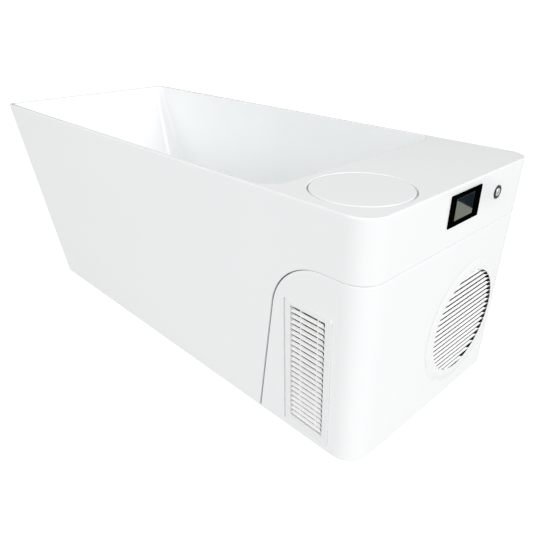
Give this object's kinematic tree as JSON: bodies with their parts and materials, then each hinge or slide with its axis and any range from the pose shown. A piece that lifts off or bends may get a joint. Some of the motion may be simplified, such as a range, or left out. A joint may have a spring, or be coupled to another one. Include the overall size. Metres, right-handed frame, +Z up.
{
  "type": "cold plunge tub",
  "caption": "White acrylic cold plunge tub with a sloped head end and a built-in water chiller behind a louvred pull-off cover.",
  "frame": {"origin": "on the floor, under the middle of the tub's overall length and width", "axes": "+X along the tub towards the chiller end, +Y towards the far side from the side louvre, +Z up"},
  "size_m": [1.703, 0.6898, 0.63],
  "materials": {
    "white_acrylic": "high gloss",
    "white_plastic": "satin",
    "black_plastic": "satin",
    "grey_plastic": "satin",
    "blue_pipe": "satin",
    "filter_paper": "matte",
    "screen_glass": "gloss",
    "chrome_metal": "polished",
    "galvanised_steel": "dull zinc",
    "copper_tube": "dull copper",
    "fin_aluminium": "mill",
    "black_painted_steel": "gloss paint",
    "black_rubber": "matte",
    "foam": "matte"
  },
  "bodies": {
    "tub": {"inner_basin": "white_acrylic", "outer_apron": "white_acrylic", "insulation_jacket": "foam", "base_rail_1": "galvanised_steel", "base_rail_2": "galvanised_steel", "base_crossbar_1": "galvanised_steel", "base_crossbar_2": "galvanised_steel", "base_crossbar_3": "galvanised_steel", "base_crossbar_4": "galvanised_steel", "drain_fitting": "chrome_metal", "drain_pipe": "grey_plastic", "drain_outlet": "grey_plastic", "power_inlet": "black_plastic", "suction_strainer": "white_plastic", "return_nozzle": "white_plastic", "lid_collar": "white_plastic", "filter_housing": "black_plastic", "filter_cartridge": "filter_paper", "display_housing": "black_plastic", "display_glass": "screen_glass", "button_bezel": "chrome_metal", "control_box": "grey_plastic", "chiller_tray": "galvanised_steel", "compressor": "black_painted_steel", "compressor_terminal_cover": "grey_plastic", "compressor_mount_1": "black_rubber", "compressor_mount_2": "black_rubber", "compressor_mount_3": "black_rubber", "condenser_coil": "fin_aluminium", "fan_shroud": "black_painted_steel", "fan_motor": "black_painted_steel", "heat_exchanger": "grey_plastic", "circulation_pump": "black_plastic", "suction_pipe": "blue_pipe", "filter_pipe": "blue_pipe", "exchanger_pipe": "blue_pipe", "return_pipe": "blue_pipe", "discharge_tube": "copper_tube", "liquid_tube": "copper_tube", "vapour_tube": "copper_tube"},
    "lid": {"filter_lid": "white_acrylic", "lid_gasket": "black_rubber"},
    "cover": {"service_cover": "white_acrylic", "side_grille": "white_plastic", "fan_grille": "white_plastic"},
    "fan": {"fan_rotor": "black_plastic"},
    "button": {"button_cap": "chrome_metal"},
    "plug": {"drain_plug": "chrome_metal"},
    "foot_1": {"levelling_foot_1": "black_rubber"},
    "foot_2": {"levelling_foot_2": "black_rubber"},
    "foot_3": {"levelling_foot_3": "black_rubber"},
    "foot_4": {"levelling_foot_4": "black_rubber"},
    "foot_5": {"levelling_foot_5": "black_rubber"},
    "foot_6": {"levelling_foot_6": "black_rubber"}
  },
  "joints": [
    {"name": "lid_lift", "type": "slide", "parent": "tub", "child": "lid", "axis": [0, 0, 1], "range_m": [0, 0.4]},
    {"name": "cover_pull", "type": "slide", "parent": "tub", "child": "cover", "axis": [1, 0, 0], "range_m": [0, 0.36]},
    {"name": "fan_spin", "type": "hinge", "parent": "tub", "child": "fan", "pos_m": [0.81, 0.118, 0.226], "axis": [1, 0, 0], "continuous": true},
    {"name": "button_press", "type": "slide", "parent": "tub", "child": "button", "axis": [-1, 0, 0.0097], "range_m": [0, 0.003], "stiffness_N_per_m": 600},
    {"name": "drain_plug_lift", "type": "slide", "parent": "tub", "child": "plug", "axis": [0, 0, 1], "range_m": [0, 0.012]},
    {"name": "foot_1_turn", "type": "hinge", "parent": "tub", "child": "foot_1", "pos_m": [-0.52325, -0.17, 0], "axis": [0, 0, 1], "continuous": true},
    {"name": "foot_2_turn", "type": "hinge", "parent": "tub", "child": "foot_2", "pos_m": [-0.52325, 0.17, 0], "axis": [0, 0, 1], "continuous": true},
    {"name": "foot_3_turn", "type": "hinge", "parent": "tub", "child": "foot_3", "pos_m": [0.12725, -0.17, 0], "axis": [0, 0, 1], "continuous": true},
    {"name": "foot_4_turn", "type": "hinge", "parent": "tub", "child": "foot_4", "pos_m": [0.12725, 0.17, 0], "axis": [0, 0, 1], "continuous": true},
    {"name": "foot_5_turn", "type": "hinge", "parent": "tub", "child": "foot_5", "pos_m": [0.77775, -0.17, 0], "axis": [0, 0, 1], "continuous": true},
    {"name": "foot_6_turn", "type": "hinge", "parent": "tub", "child": "foot_6", "pos_m": [0.77775, 0.17, 0], "axis": [0, 0, 1], "continuous": true}
  ]
}
